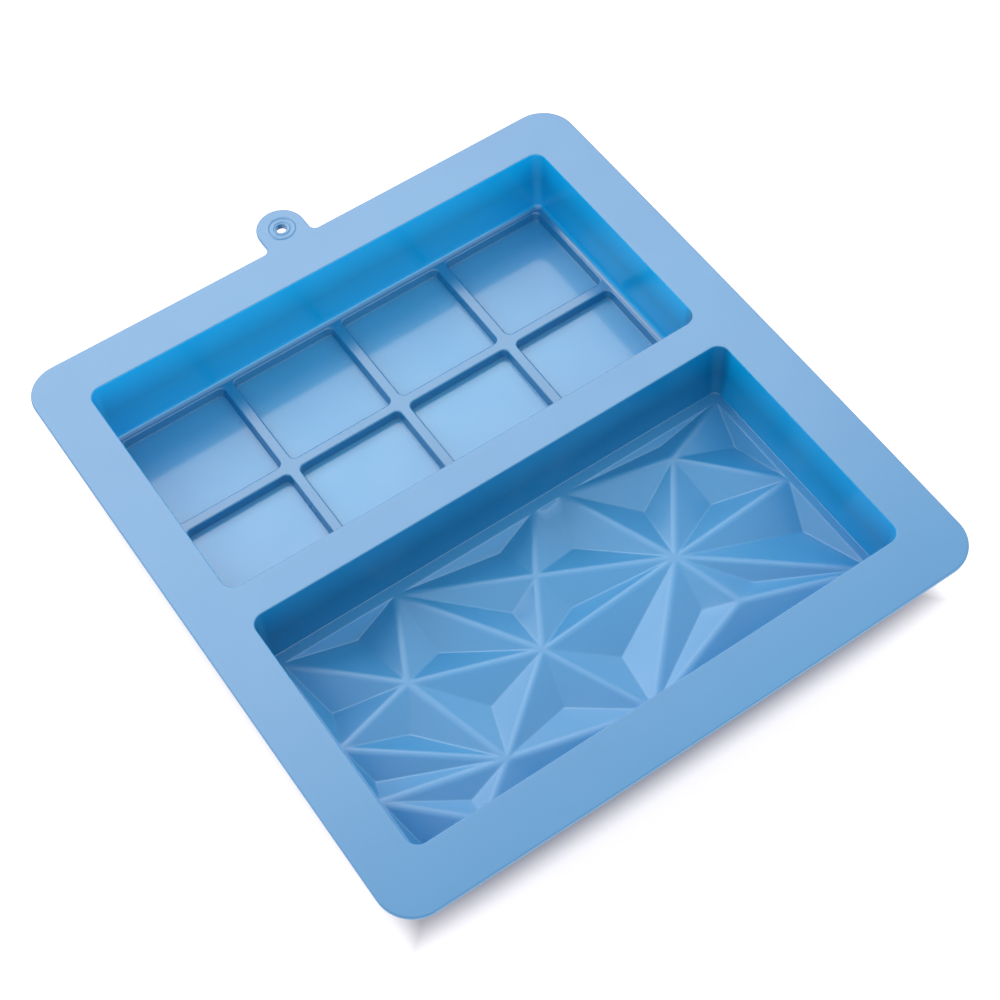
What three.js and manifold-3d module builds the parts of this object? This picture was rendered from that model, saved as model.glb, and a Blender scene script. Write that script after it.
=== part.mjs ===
// Two-bar silicone soap mould: one soft moulding with a grid-patterned bar cavity, a faceted bar
// cavity, a flat rim round both and a hanging tab. Each region of the moulding is one solid.
// Millimetres. X runs along the bars, +Y points to the hanging tab, +Z is up out of the cavities.

import * as THREE from "three";
import { mergeVertices } from "three/addons/utils/BufferGeometryUtils.js";
import Module from "manifold-3d";

// Rim: the flat top flange. Heights are measured down from its top face.
const RIM_WIDTH = 200;
const RIM_LENGTH = 216.7;
const RIM_THICKNESS = 2.2;
const RIM_CORNER_RADIUS = 11.5;
const OVERALL_HEIGHT = 30;

// Hanging tab, off the rim's +Y edge.
const TAB_CENTRE_X = -1.6;
const TAB_WIDTH = 16.2;
const TAB_REACH = 14.35;
const TAB_ROOT_FILLET = 2.2;
const TAB_HOLE_RADIUS = 1.7;
const TAB_RINGS = [
  { radius: 2.65, width: 0.7, height: 0.35 },
  { radius: 4.35, width: 0.7, height: 0.4 },
];

// Bar cavities: both openings are the same, one in each half of the rim.
const OPENING_LENGTH = 168.3;
const OPENING_WIDTH = 85.8;
const OPENING_CORNER_RADIUS = 4;
const GRID_CENTRE_Y = 50.1;
const FACET_CENTRE_Y = -47.4;
const WALL_THICKNESS = 2.2;
const WALL_DRAFT = 1.6;

// Grid cavity: 4 x 2 square cells between low ribs.
const RIB_DEPTH = 24.6;
const CELL_DEPTH = 28;
const CELL_COLUMNS = 4;
const CELL_ROWS = 2;
const CELL_PITCH = 41;
const CELL_SIZE = 37.4;
const CELL_DRAFT = 0.4;
const CELL_CORNER_RADIUS = 2;
const PAD_OVERLAP = 1.2;
const PAD_CORNER_RADIUS = 3;
const PAD_CHAMFER = 0.6;

// Faceted cavity: a net of ridges at one height, with a sunken pyramid between each set of ridges.
const RIDGE_DEPTH = 22.3;
const FACET_SKIN = 2;
const UNDERSIDE_SPREAD = 1.2;
const FIELD_HALF_LENGTH = 80.1;
const FIELD_HALF_WIDTH = 37.9;

// Where the ridges cross, from the middle of the faceted field. The n, e, s and w points lie on
// the field's +Y, +X, -Y and -X edges, and the h points are the stars inside it.
const RIDGE_POINTS = {
  nw: [-FIELD_HALF_LENGTH, FIELD_HALF_WIDTH],
  n1: [-40, FIELD_HALF_WIDTH],
  n2: [10, FIELD_HALF_WIDTH],
  n3: [20.8, FIELD_HALF_WIDTH],
  ne: [FIELD_HALF_LENGTH, FIELD_HALF_WIDTH],
  e1: [FIELD_HALF_LENGTH, 1.6],
  se: [FIELD_HALF_LENGTH, -FIELD_HALF_WIDTH],
  s2: [0, -FIELD_HALF_WIDTH],
  s1: [-59, -FIELD_HALF_WIDTH],
  sw: [-FIELD_HALF_LENGTH, -FIELD_HALF_WIDTH],
  w2: [-FIELD_HALF_LENGTH, -16.4],
  w1: [-FIELD_HALF_LENGTH, 4.1],
  h1: [-53, 10.8],
  h2: [-14.9, -3],
  h3: [35.4, -0.4],
  h4: [-2, 18.7],
  h5: [56.1, 28.5],
  h6: [-43.2, -26],
  h7: [41.8, -23.7],
};
const FIELD_EDGE = ["nw", "w1", "w2", "sw", "s1", "s2", "se", "e1", "ne", "n3", "n2", "n1"];

// Each pyramid: its ridge corners in counter-clockwise order, and its lowest point as x, y and
// depth below the ridges. Facets slope at about 23 degrees, and at about 54 along the field's edge.
const PYRAMIDS = [
  { corners: ["nw", "h1", "n1"], low: [-56.4, 34.4, 5.9] },
  { corners: ["nw", "w1", "h1"], low: [-75.6, 17.6, 5] },
  { corners: ["n1", "h1", "h2"], low: [-39.3, 15.9, 4.4] },
  { corners: ["w1", "h6", "h1"], low: [-61.2, -1.5, 4.1] },
  { corners: ["h1", "h6", "h2"], low: [-36.5, -7.6, 4.7] },
  { corners: ["w1", "w2", "h6"], low: [-77.5, -8.8, 3.5] },
  { corners: ["w2", "s1", "h6"], low: [-58.2, -29.7, 2.8] },
  { corners: ["w2", "sw", "s1"], low: [-76.6, -34.4, 4.3] },
  { corners: ["h6", "s1", "s2"], low: [-41.5, -35, 3.5] },
  { corners: ["h6", "s2", "h2"], low: [-19.7, -20.2, 4.8] },
  { corners: ["n1", "h4", "n2"], low: [-5.3, 34.1, 5] },
  { corners: ["n1", "h2", "h4"], low: [-14.1, 14.2, 3.9] },
  { corners: ["h4", "h2", "h3"], low: [1.3, 5.3, 4] },
  { corners: ["h2", "s2", "h3"], low: [4.1, -16.2, 5.5] },
  { corners: ["n3", "h5", "ne"], low: [56.6, 35.8, 3] },
  { corners: ["n3", "h3", "h5"], low: [39, 20.3, 4.6] },
  { corners: ["ne", "h5", "e1"], low: [76.3, 22.9, 5.2] },
  { corners: ["h5", "h3", "e1"], low: [57.3, 10.3, 4.7] },
  { corners: ["h3", "se", "e1"], low: [74.5, -13.2, 6] },
  { corners: ["h3", "h7", "se"], low: [50, -19.6, 3] },
  { corners: ["h3", "s2", "h7"], low: [32, -18.1, 3.7] },
  { corners: ["h7", "s2", "se"], low: [41.7, -34.4, 4.3] },
];

// The one four-sided sunken cell is a hip: its short back edge is [0, 1], and a valley joins its
// two low points, the first of them next to that edge.
const HIP = {
  corners: ["n3", "n2", "h4", "h3"],
  lows: [[15.6, 36.4, 2.4], [13.9, 22.2, 4.7]],
};

const CORNER_STEPS = 5;
const RING_STEPS = 32;

const silicone = { color: 0x1c7fc4, roughness: 0.22, metalness: 0 };

const wasm = await Module();
wasm.setup();

// ---------------------------------------------------------------- outlines and basic solids

// Counter-clockwise points of a rounded rectangle.
function roundedRectangle(halfX, halfY, radius, centreY = 0, centreX = 0) {
  const points = [];
  const corners = [
    [halfX - radius, halfY - radius, 0],
    [radius - halfX, halfY - radius, Math.PI / 2],
    [radius - halfX, radius - halfY, Math.PI],
    [halfX - radius, radius - halfY, Math.PI * 1.5],
  ];
  for (const [x, y, start] of corners) {
    for (let step = 0; step <= CORNER_STEPS; step++) {
      const angle = start + (step / CORNER_STEPS) * (Math.PI / 2);
      points.push(
        new THREE.Vector2(
          centreX + x + radius * Math.cos(angle),
          centreY + y + radius * Math.sin(angle),
        ),
      );
    }
  }
  return points;
}

// Outline of a bar cavity, moved out from its opening by the given distance.
function cavityOutline(centreY, offset) {
  return roundedRectangle(
    OPENING_LENGTH / 2 + offset,
    OPENING_WIDTH / 2 + offset,
    OPENING_CORNER_RADIUS + Math.max(offset, 0),
    centreY,
  );
}

// Flat plate between two heights, with holes.
function plate(outline, holes, bottom, top) {
  const shape = new THREE.Shape(outline);
  shape.holes = holes.map((points) => new THREE.Path(points));
  const geometry = new THREE.ExtrudeGeometry(shape, {
    depth: top - bottom,
    bevelEnabled: false,
    curveSegments: CORNER_STEPS * 3,
  });
  return geometry.translate(0, 0, bottom);
}

function atHeight(outline, z) {
  return outline.map((point) => new THREE.Vector3(point.x, point.y, z));
}

function geometryFrom(points, triangles) {
  const geometry = new THREE.BufferGeometry().setFromPoints(points);
  geometry.setIndex(triangles);
  const flat = geometry.toNonIndexed();
  flat.computeVertexNormals();
  return flat;
}

// Quads between two loops of the same length; the solid lies on the inner side of the walk.
function bandBetween(firstLoop, secondLoop, count) {
  const triangles = [];
  for (let i = 0; i < count; i++) {
    const next = (i + 1) % count;
    triangles.push(firstLoop + i, secondLoop + i, secondLoop + next);
    triangles.push(firstLoop + i, secondLoop + next, firstLoop + next);
  }
  return triangles;
}

// Ring solid through closed loops, joined in order and back to the first.
function ringSolid(loops) {
  const count = loops[0].length;
  const triangles = loops.flatMap((_, i) =>
    bandBetween(i * count, ((i + 1) % loops.length) * count, count),
  );
  return geometryFrom(loops.flat(), triangles);
}

// Capped solid through convex closed loops, from its top loop to its bottom loop.
function stackSolid(loops) {
  const count = loops[0].length;
  const bottom = (loops.length - 1) * count;
  const triangles = [];
  for (let i = 0; i + 1 < loops.length; i++) {
    triangles.push(...bandBetween(i * count, (i + 1) * count, count));
  }
  for (let i = 1; i + 1 < count; i++) {
    triangles.push(0, i, i + 1);
    triangles.push(bottom, bottom + i + 1, bottom + i);
  }
  return geometryFrom(loops.flat(), triangles);
}

// ---------------------------------------------------------------- joining and cutting

function toSolid(geometry) {
  const bare = geometry.clone();
  bare.deleteAttribute("normal");
  bare.deleteAttribute("uv");
  const merged = mergeVertices(bare, 1e-4);
  return new wasm.Manifold(
    new wasm.Mesh({
      numProp: 3,
      vertProperties: new Float32Array(merged.attributes.position.array),
      triVerts: new Uint32Array(merged.index.array),
    }),
  );
}

function fromSolid(solid) {
  const mesh = solid.getMesh();
  const geometry = new THREE.BufferGeometry();
  geometry.setAttribute("position", new THREE.BufferAttribute(mesh.vertProperties, 3));
  geometry.setIndex(new THREE.BufferAttribute(mesh.triVerts, 1));
  const flat = geometry.toNonIndexed();
  flat.computeVertexNormals();
  return flat;
}

// ---------------------------------------------------------------- rim and tab

// The flange runs up to the outside of each cavity wall, whose top edge is flush with it.
function rimFlange() {
  const outline = roundedRectangle(RIM_WIDTH / 2, RIM_LENGTH / 2, RIM_CORNER_RADIUS);
  const holes = [GRID_CENTRE_Y, FACET_CENTRE_Y].map((y) => cavityOutline(y, WALL_THICKNESS));
  return plate(outline, holes, -RIM_THICKNESS, 0);
}

// Tab outline: a straight root on the rim's edge, hollow fillets, straight sides and a round end.
function tabOutline() {
  const half = TAB_WIDTH / 2;
  const fillet = TAB_ROOT_FILLET;
  const root = RIM_LENGTH / 2;
  const roundCentreY = root + TAB_REACH - half;
  const shape = new THREE.Shape();
  shape.moveTo(TAB_CENTRE_X - half - fillet, root);
  shape.lineTo(TAB_CENTRE_X + half + fillet, root);
  shape.absarc(TAB_CENTRE_X + half + fillet, root + fillet, fillet, -Math.PI / 2, -Math.PI, true);
  shape.lineTo(TAB_CENTRE_X + half, roundCentreY);
  shape.absarc(TAB_CENTRE_X, roundCentreY, half, 0, Math.PI, false);
  shape.lineTo(TAB_CENTRE_X - half, root + fillet);
  shape.absarc(TAB_CENTRE_X - half - fillet, root + fillet, fillet, 0, -Math.PI / 2, true);
  return shape.getPoints(CORNER_STEPS * 2);
}

// Raised ring round the tab's hole, sunk a little into the tab so that the two join.
function tabRing({ radius, width, height }) {
  const sunk = RIM_THICKNESS / 2;
  const crest = width / 4;
  const profile = [
    new THREE.Vector2(radius - width / 2, -sunk),
    new THREE.Vector2(radius + width / 2, -sunk),
    new THREE.Vector2(radius + width / 2, 0),
    new THREE.Vector2(radius + crest, height),
    new THREE.Vector2(radius - crest, height),
    new THREE.Vector2(radius - width / 2, 0),
    new THREE.Vector2(radius - width / 2, -sunk),
  ];
  return new THREE.LatheGeometry(profile, RING_STEPS).rotateX(Math.PI / 2);
}

function hangingTab() {
  const holeY = RIM_LENGTH / 2 + TAB_REACH - TAB_WIDTH / 2;
  const hole = new THREE.Path();
  hole.absarc(TAB_CENTRE_X, holeY, TAB_HOLE_RADIUS, 0, Math.PI * 2, true);
  const holePoints = hole.getPoints(CORNER_STEPS * 2).slice(0, -1);
  let solid = toSolid(plate(tabOutline(), [holePoints], -RIM_THICKNESS, 0));
  for (const ring of TAB_RINGS) {
    solid = solid.add(toSolid(tabRing(ring).translate(TAB_CENTRE_X, holeY, 0)));
  }
  return fromSolid(solid);
}

// ---------------------------------------------------------------- cavity walls

// Drafted wall round one opening, from the rim's top face down to the given depth.
function cavityWall(centreY, depth) {
  return ringSolid([
    atHeight(cavityOutline(centreY, WALL_THICKNESS), 0),
    atHeight(cavityOutline(centreY, WALL_THICKNESS), -RIM_THICKNESS),
    atHeight(cavityOutline(centreY, WALL_THICKNESS - WALL_DRAFT), -depth),
    atHeight(cavityOutline(centreY, -WALL_DRAFT), -depth),
    atHeight(cavityOutline(centreY, 0), 0),
  ]);
}

// ---------------------------------------------------------------- grid cavity floor

function cellCentres() {
  const centres = [];
  for (let row = 0; row < CELL_ROWS; row++) {
    for (let column = 0; column < CELL_COLUMNS; column++) {
      centres.push({
        x: (column - (CELL_COLUMNS - 1) / 2) * CELL_PITCH,
        y: GRID_CENTRE_Y + (row - (CELL_ROWS - 1) / 2) * CELL_PITCH,
      });
    }
  }
  return centres;
}

// Cutter for one cell: a drafted square that runs past both faces of the ribs.
function cellCutter({ x, y }) {
  const past = 1;
  const slope = CELL_DRAFT / (CELL_DEPTH - RIB_DEPTH);
  const outlineAt = (depth) => {
    const half = CELL_SIZE / 2 - (depth - RIB_DEPTH) * slope;
    return atHeight(roundedRectangle(half, half, CELL_CORNER_RADIUS, y, x), -depth);
  };
  return stackSolid([outlineAt(RIB_DEPTH - past), outlineAt(CELL_DEPTH + past)]);
}

function gridRibs() {
  const outline = cavityOutline(GRID_CENTRE_Y, WALL_THICKNESS - WALL_DRAFT);
  let solid = toSolid(plate(outline, [], -CELL_DEPTH, -RIB_DEPTH));
  for (const centre of cellCentres()) {
    solid = solid.subtract(toSolid(cellCutter(centre)));
  }
  return fromSolid(solid);
}

// Floor of one cell, which is also one of the flat pads that the mould stands on.
function cellFloor({ x, y }) {
  const half = CELL_SIZE / 2 + PAD_OVERLAP;
  const wide = roundedRectangle(half, half, PAD_CORNER_RADIUS, y, x);
  const foot = roundedRectangle(
    half - PAD_CHAMFER,
    half - PAD_CHAMFER,
    PAD_CORNER_RADIUS - PAD_CHAMFER,
    y,
    x,
  );
  return stackSolid([
    atHeight(wide, -CELL_DEPTH),
    atHeight(wide, PAD_CHAMFER - OVERALL_HEIGHT),
    atHeight(foot, -OVERALL_HEIGHT),
  ]);
}

// ---------------------------------------------------------------- faceted cavity floor

// Facets of the field as triangles of named points. Low points are named after their pyramid.
function fieldFacets() {
  const facets = [];
  PYRAMIDS.forEach(({ corners }, i) => {
    corners.forEach((corner, k) => {
      facets.push([corner, corners[(k + 1) % corners.length], "low" + i]);
    });
  });
  const [backEast, backWest, frontWest, frontEast] = HIP.corners;
  facets.push([backEast, backWest, "hip0"]);
  facets.push([backWest, frontWest, "hip1"], [backWest, "hip1", "hip0"]);
  facets.push([frontWest, frontEast, "hip1"]);
  facets.push([frontEast, backEast, "hip0"], [frontEast, "hip0", "hip1"]);
  return facets;
}

// Every named point of the field at one side of the skin, with its index.
function fieldPoints(level, spread, lowest) {
  const index = {};
  const points = [];
  const keep = (name, x, y, z) => {
    index[name] = points.length;
    points.push(new THREE.Vector3(x, y + FACET_CENTRE_Y, z));
  };
  for (const [name, [x, y]] of Object.entries(RIDGE_POINTS)) {
    const outX = Math.abs(x) === FIELD_HALF_LENGTH ? Math.sign(x) * spread : 0;
    const outY = Math.abs(y) === FIELD_HALF_WIDTH ? Math.sign(y) * spread : 0;
    keep(name, x + outX, y + outY, level);
  }
  PYRAMIDS.forEach(({ low: [x, y, depth] }, i) => {
    keep("low" + i, x, y, Math.max(level - depth, lowest));
  });
  HIP.lows.forEach(([x, y, depth], i) => {
    keep("hip" + i, x, y, Math.max(level - depth, lowest));
  });
  return { points, index };
}

// One face of the floor: the facets, and the flat ledge from the field's edge to the outline.
function floorFace(outline, level, spread, lowest) {
  const { points, index } = fieldPoints(level, spread, lowest);
  const triangles = fieldFacets().map((names) => names.map((name) => index[name]));
  const outlineStart = points.length;
  points.push(...atHeight(outline, level));
  const edge = FIELD_EDGE.map((name) => new THREE.Vector2(...points[index[name]].toArray()));
  const ledgeIndex = [
    ...outline.map((_, i) => outlineStart + i),
    ...FIELD_EDGE.map((name) => index[name]),
  ];
  for (const triangle of THREE.ShapeUtils.triangulateShape(outline, [edge])) {
    triangles.push(triangle.map((i) => ledgeIndex[i]));
  }
  return { points, triangles, outlineStart };
}

// Turn each triangle so that it faces up.
function facingUp(triangles, points) {
  return triangles.map(([a, b, c]) => {
    const ab = points[b].clone().sub(points[a]);
    const ac = points[c].clone().sub(points[a]);
    return ab.cross(ac).z > 0 ? [a, b, c] : [a, c, b];
  });
}

function facetFloor() {
  const outline = cavityOutline(FACET_CENTRE_Y, WALL_THICKNESS - WALL_DRAFT);
  const top = floorFace(outline, -RIDGE_DEPTH, 0, -OVERALL_HEIGHT);
  const under = floorFace(
    outline,
    -RIDGE_DEPTH - FACET_SKIN,
    UNDERSIDE_SPREAD,
    -OVERALL_HEIGHT,
  );
  const shift = top.points.length;
  const upper = facingUp(top.triangles, top.points);
  const lower = facingUp(under.triangles, under.points).map(([a, b, c]) => [
    a + shift,
    c + shift,
    b + shift,
  ]);
  const side = bandBetween(top.outlineStart, shift + under.outlineStart, outline.length);
  return geometryFrom([...top.points, ...under.points], [...upper.flat(), ...lower.flat(), ...side]);
}

// ---------------------------------------------------------------- the mould

function region(name, geometry) {
  const material = new THREE.MeshStandardMaterial({ ...silicone, name: "blue_silicone" });
  const mesh = new THREE.Mesh(geometry, material);
  mesh.name = name;
  return mesh;
}

const moulding = new THREE.Group();
moulding.add(region("rim_flange", rimFlange()));
moulding.add(region("hanging_tab", hangingTab()));
moulding.add(region("grid_cavity_wall", cavityWall(GRID_CENTRE_Y, RIB_DEPTH)));
moulding.add(region("grid_cavity_ribs", gridRibs()));
cellCentres().forEach((centre, i) => {
  moulding.add(region("grid_cell_floor_" + (i + 1), cellFloor(centre)));
});
moulding.add(region("facet_cavity_wall", cavityWall(FACET_CENTRE_Y, RIDGE_DEPTH)));
moulding.add(region("facet_cavity_floor", facetFloor()));

// The origin is on the table under the middle of the whole outline, tab included.
moulding.position.set(0, -TAB_REACH / 2, OVERALL_HEIGHT);

const group = new THREE.Group();
group.add(moulding);

export default group;
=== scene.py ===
import math

import bpy
import numpy as np
from mathutils import Matrix, Vector
from mathutils.geometry import delaunay_2d_cdt


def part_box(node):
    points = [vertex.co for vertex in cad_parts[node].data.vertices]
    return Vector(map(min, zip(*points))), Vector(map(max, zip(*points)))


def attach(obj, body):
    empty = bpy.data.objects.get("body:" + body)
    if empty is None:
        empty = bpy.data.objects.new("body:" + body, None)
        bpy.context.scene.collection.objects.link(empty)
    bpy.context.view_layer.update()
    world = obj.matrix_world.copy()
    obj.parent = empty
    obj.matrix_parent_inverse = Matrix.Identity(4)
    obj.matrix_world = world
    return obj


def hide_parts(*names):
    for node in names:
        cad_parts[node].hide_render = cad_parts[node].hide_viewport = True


# Two-bar silicone soap mould. Everything here is worked out in millimetres in the row frame, and
# turned into metres when a mesh is made. Each piece is one region of the one moulding.

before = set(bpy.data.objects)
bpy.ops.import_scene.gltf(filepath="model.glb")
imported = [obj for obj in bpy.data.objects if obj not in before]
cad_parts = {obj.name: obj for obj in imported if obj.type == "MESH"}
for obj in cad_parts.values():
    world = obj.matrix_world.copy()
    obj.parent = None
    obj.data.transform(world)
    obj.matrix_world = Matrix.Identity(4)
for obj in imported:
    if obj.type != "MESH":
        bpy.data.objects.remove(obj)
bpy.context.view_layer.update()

MM = 0.001

# ---------------------------------------------------------------- dimensions

# The rim, the openings and the walls round the two cavities.
RIM_CORNER = 11.5
RIM_EDGE_TOP = 0.45
RIM_EDGE_UNDER = 1.4
OPENING_CORNER = 4.0
OPENING_EDGE = 0.35
WALL = 2.2
DRAFT = 1.6
UNDER_FILLET = 1.0

# The tab, and the piece of rim it takes with it: TAB_REACH to each side and TAB_INSET deep.
TAB_HALF = 8.1
TAB_ROOT_FILLET = 2.2
TAB_MARGIN = 1.5
TAB_REACH = TAB_HALF + TAB_ROOT_FILLET + TAB_MARGIN
TAB_INSET = 4.0
# The hole, its rounded edge, and the round patch that holds the hole and its raised rings.
TAB_HOLE = 1.7
TAB_HOLE_EDGE = 0.3
TAB_PATCH_RADIUS = 5.6
TAB_PATCH_ROWS = 60
TAB_PATCH_SPOKES = 64
# Radius, width and height of each raised ring.
TAB_RINGS = ((4.35, 1.2, 0.13), (2.65, 1.0, 0.11))

# The square cells, and the pads that are their floors.
CELLS = 8
GRID_FILLET = 2.0
CELL = 37.4
CELL_CORNER = 2.0
CELL_EDGE = 0.6
CELL_DRAFT = 0.4
CELL_FOOT = 0.22
PAD_HALF = 19.9
PAD_CORNER = 3.0
PAD_EDGE = 0.6

# The faceted floor. Its ridges have narrow flat tops that run softly into the facets.
FACET_FILLET = 0.35
FACET_SKIN = 2.0
PIT_SKIN = 0.3
RIDGE_FLAT = 0.36
RIDGE_SOFTNESS = 0.3
VALLEY_SOFTNESS = 0.36
# A valley's rounding is at most this many times as wide as the valley is deep.
VALLEY_GROWTH = 1.2
FIELD_X = 80.1
FIELD_Y = 37.9
UNDER_SPREAD = 1.2
FLOOR_EDGE = 1.0
# How far from a ridge's edge and from a valley's line the mesh has rows of points.
RIDGE_LEVELS = (
    0,
    RIDGE_FLAT - RIDGE_SOFTNESS,
    RIDGE_FLAT - RIDGE_SOFTNESS / 3,
    RIDGE_FLAT + RIDGE_SOFTNESS / 3,
    RIDGE_FLAT + RIDGE_SOFTNESS,
)
VALLEY_ROWS = (0, -0.18, 0.18, -0.4, 0.4)
# The distance between points along those rows, and the least distance between any two points.
TOP_STEP, TOP_GAP = 0.8, 0.11
UNDER_STEP, UNDER_GAP = 1.6, 0.3
# How far to each side of a point its slope is measured.
SLOPE_STEP = 0.02

# The rim's lift over the flat, in powers of x from the middle: along its back and front edges.
WARP_BACK = (0.15, -1.45, 0.5)
WARP_FRONT = (-0.7, 0.0, 1.1)
# How far the middle of the right side bulges out.
WARP_BULGE = 0.5
WARP_HALF_X, WARP_HALF_Y, WARP_MIDDLE_Y = 100.0, 108.35, -7.175
WARP_STEP = 0.05

RIDGE_POINTS = {
    "nw": (-FIELD_X, FIELD_Y), "n1": (-40, FIELD_Y), "n2": (10, FIELD_Y), "n3": (20.8, FIELD_Y),
    "ne": (FIELD_X, FIELD_Y), "e1": (FIELD_X, 1.6), "se": (FIELD_X, -FIELD_Y),
    "s2": (0, -FIELD_Y), "s1": (-59, -FIELD_Y), "sw": (-FIELD_X, -FIELD_Y),
    "w2": (-FIELD_X, -16.4), "w1": (-FIELD_X, 4.1),
    "h1": (-53, 10.8), "h2": (-14.9, -3), "h3": (35.4, -0.4), "h4": (-2, 18.7),
    "h5": (56.1, 28.5), "h6": (-43.2, -26), "h7": (41.8, -23.7),
}
# Corners of each sunken pyramid, and its lowest point: x, y and depth below the ridges.
PYRAMIDS = (
    ("nw h1 n1", (-56.4, 34.4, 5.9)), ("nw w1 h1", (-75.6, 17.6, 5)),
    ("n1 h1 h2", (-39.3, 15.9, 4.4)), ("w1 h6 h1", (-61.2, -1.5, 4.1)),
    ("h1 h6 h2", (-36.5, -7.6, 4.7)), ("w1 w2 h6", (-77.5, -8.8, 3.5)),
    ("w2 s1 h6", (-58.2, -29.7, 2.8)), ("w2 sw s1", (-76.6, -34.4, 4.3)),
    ("h6 s1 s2", (-41.5, -35, 3.5)), ("h6 s2 h2", (-19.7, -20.2, 4.8)),
    ("n1 h4 n2", (-5.3, 34.1, 5)), ("n1 h2 h4", (-14.1, 14.2, 3.9)),
    ("h4 h2 h3", (1.3, 5.3, 4)), ("h2 s2 h3", (4.1, -16.2, 5.5)),
    ("n3 h5 ne", (56.6, 35.8, 3)), ("n3 h3 h5", (39, 20.3, 4.6)),
    ("ne h5 e1", (76.3, 22.9, 5.2)), ("h5 h3 e1", (57.3, 10.3, 4.7)),
    ("h3 se e1", (74.5, -13.2, 6)), ("h3 h7 se", (50, -19.6, 3)),
    ("h3 s2 h7", (32, -18.1, 3.7)), ("h7 s2 se", (41.7, -34.4, 4.3)),
)
# The one four-sided pit is a hip: its lowest point, and a second one by its short back edge.
HIP = ("n3 n2 h4 h3", (13.9, 22.2, 4.7), (15.6, 36.4, 2.4))


def box_mm(node):
    low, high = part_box(node)
    return np.array(low) / MM, np.array(high) / MM


rim_low, rim_high = box_mm("rim_flange")
tab_low, tab_high = box_mm("hanging_tab")
RIM_TOP, RIM_UNDER = rim_high[2], rim_low[2]
RIM_BACK = rim_high[1]
TAB_X = (tab_low[0] + tab_high[0]) / 2
TAB_HOLE_Y = tab_high[1] - TAB_HALF
TAB_ROOT_Y = RIM_BACK - TAB_INSET

# ---------------------------------------------------------------- mesh building

# Points closer than a ten-thousandth of a millimetre are one vertex.
WELD = 1e4
# The distance between points along straight edges, and between points inside flat faces.
EDGE_STEP = 7.0
CELL_STEP = 9.0
TAB_STEP = 3.0
FLAT_SPACING = 8.0
TAB_SPACING = 2.5
# How clear of every loop a flat face's inner points stay, as a share of their spacing.
FLAT_CLEARANCE = 0.3


def warp(points):
    """The soft rim is not quite flat. The warp fades out towards the table."""
    across, along = points[:, 0] / WARP_HALF_X, (points[:, 1] - WARP_MIDDLE_Y) / WARP_HALF_Y
    back = WARP_BACK[0] + WARP_BACK[1] * across + WARP_BACK[2] * across ** 2
    front = WARP_FRONT[0] + WARP_FRONT[1] * across + WARP_FRONT[2] * across ** 2
    share = (1 + along) / 2
    lift = back * share + front * (1 - share)
    bulge = WARP_BULGE * (1 - np.clip(along, -1, 1) ** 2) * np.maximum(across, 0) ** 2
    fade = np.clip(points[:, 2] / RIM_TOP, 0, 1) ** 2
    return points + np.column_stack([bulge * fade, np.zeros(len(points)), lift * fade])


def warped(points, normals):
    """Points after the warp, and their normals turned with the surface."""
    lifted = warp(points)
    columns = []
    for axis in range(3):
        shifted = points.copy()
        shifted[:, axis] += WARP_STEP
        columns.append((warp(shifted) - lifted) / WARP_STEP)
    jacobian = np.stack(columns, axis=2)
    turned = np.einsum("nji,nj->ni", np.linalg.inv(jacobian), normals)
    return lifted, turned / np.linalg.norm(turned, axis=1)[:, None]


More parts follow.
